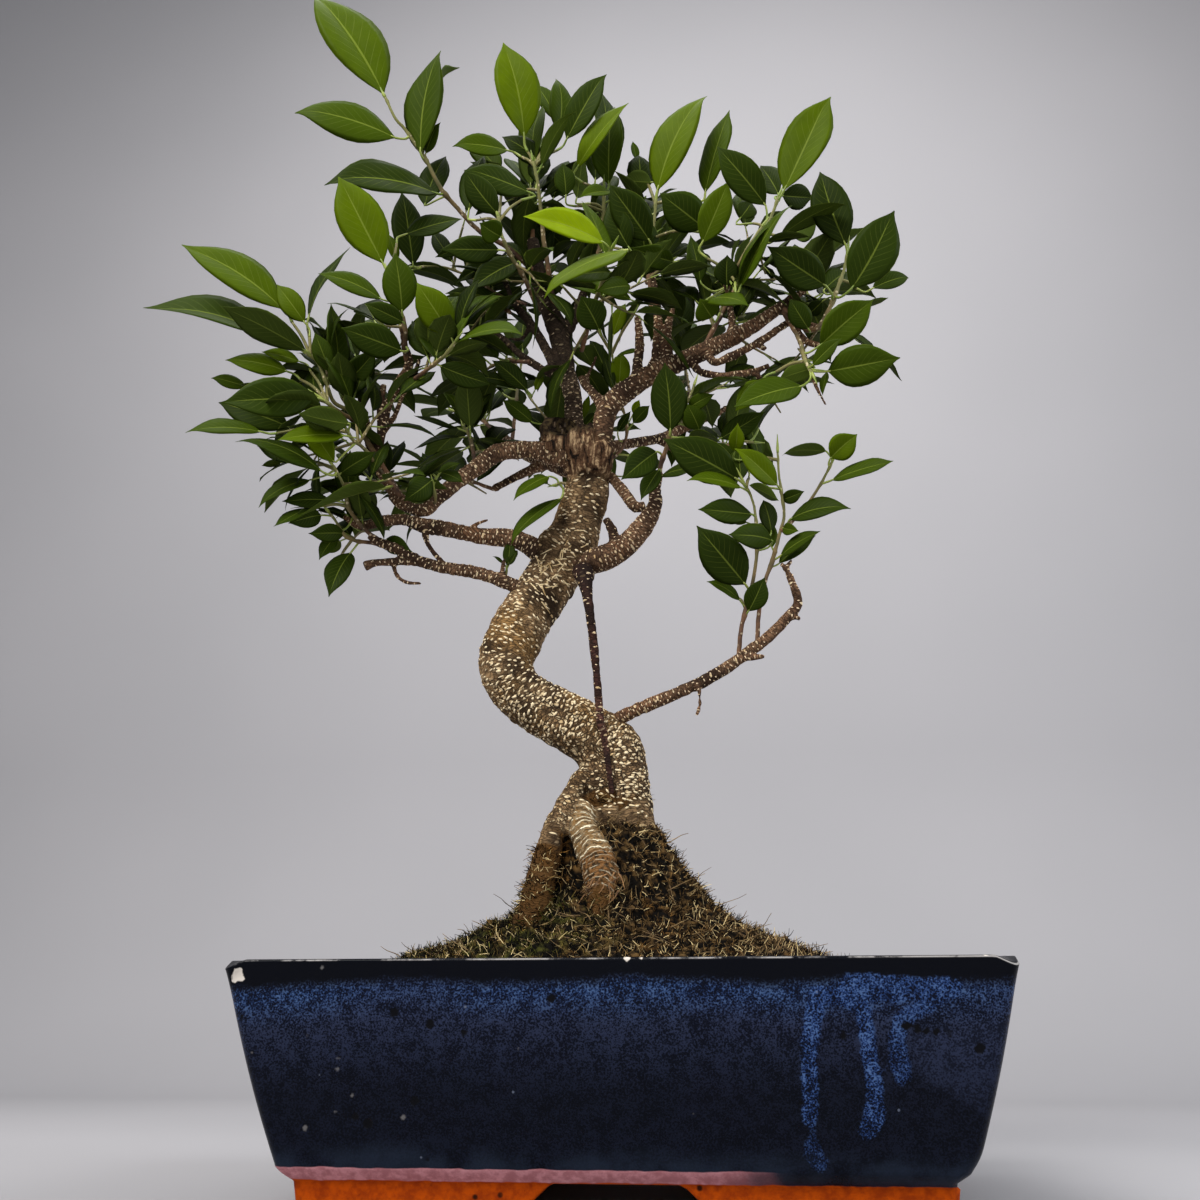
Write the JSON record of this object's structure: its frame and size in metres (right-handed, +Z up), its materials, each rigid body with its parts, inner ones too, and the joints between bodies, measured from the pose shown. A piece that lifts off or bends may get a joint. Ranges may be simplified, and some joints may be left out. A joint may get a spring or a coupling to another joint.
{
  "type": "bonsai tree in a pot",
  "caption": "S-curved small-leaved fig bonsai on exposed roots in a mossy mound, in a flared rectangular pot with a speckled blue glaze and a bare terracotta foot.",
  "frame": {"origin": "on the surface the pot stands on, under the middle of the whole plant's bounding box; the pot's own middle is 50 mm towards +X and 15 mm towards -Y of it", "axes": "+X along the pot's length, to the right seen from the front; -Y the front; +Z up"},
  "size_m": [0.4348, 0.2747, 0.67],
  "materials": {
    "glazed_stoneware": "gloss",
    "plastic_mesh": "matte",
    "aluminium_wire": "satin",
    "soil": "matte",
    "moss": "matte",
    "bark": "matte",
    "leaf": "satin"
  },
  "bodies": {
    "root": {"pot": "glazed_stoneware", "drainage_screen_left": "plastic_mesh", "screen_wire_left": "aluminium_wire", "drainage_screen_right": "plastic_mesh", "screen_wire_right": "aluminium_wire", "soil": "soil", "moss_mound": "moss", "trunk": "bark", "aerial_root": "bark", "leader": "bark", "branch_right_main": "bark", "branch_upper_left": "bark", "branch_left_mid": "bark", "branch_left_low": "bark", "branch_right_mid": "bark", "branch_right_low": "bark", "branch_back_left": "bark", "branch_back_right": "bark", "spray_top_left": "leaf", "spray_upper_left": "leaf", "spray_left_bright": "leaf", "spray_left_tip": "leaf", "spray_left_mid": "leaf", "spray_left_low": "leaf", "spray_left_long": "leaf", "spray_left_hanging": "leaf", "spray_top_centre": "leaf", "spray_centre_left": "leaf", "spray_centre_bright": "leaf", "spray_top_mid": "leaf", "spray_right_centre": "leaf", "spray_right_front": "leaf", "spray_right_top": "leaf", "spray_right_edge": "leaf", "spray_right_low": "leaf", "spray_mid_hanging": "leaf", "spray_low_centre": "leaf", "spray_low_right": "leaf", "spray_low_edge": "leaf", "spray_trunk_left": "leaf", "spray_branch_small": "leaf", "spray_crown_top": "leaf", "spray_crown_back": "leaf", "spray_crown_left": "leaf", "spray_crown_low": "leaf", "spray_crown_right": "leaf", "spray_crown_rear": "leaf", "spray_mid_top": "leaf", "spray_right_inner": "leaf", "spray_right_rear": "leaf", "spray_left_inner": "leaf", "spray_left_back": "leaf", "spray_left_upper": "leaf", "spray_back_low": "leaf", "spray_back_left": "leaf", "spray_back_high": "leaf", "spray_back_mid": "leaf", "spray_back_right": "leaf", "spray_back_top": "leaf", "spray_back_edge": "leaf"}
  },
  "joints": []
}
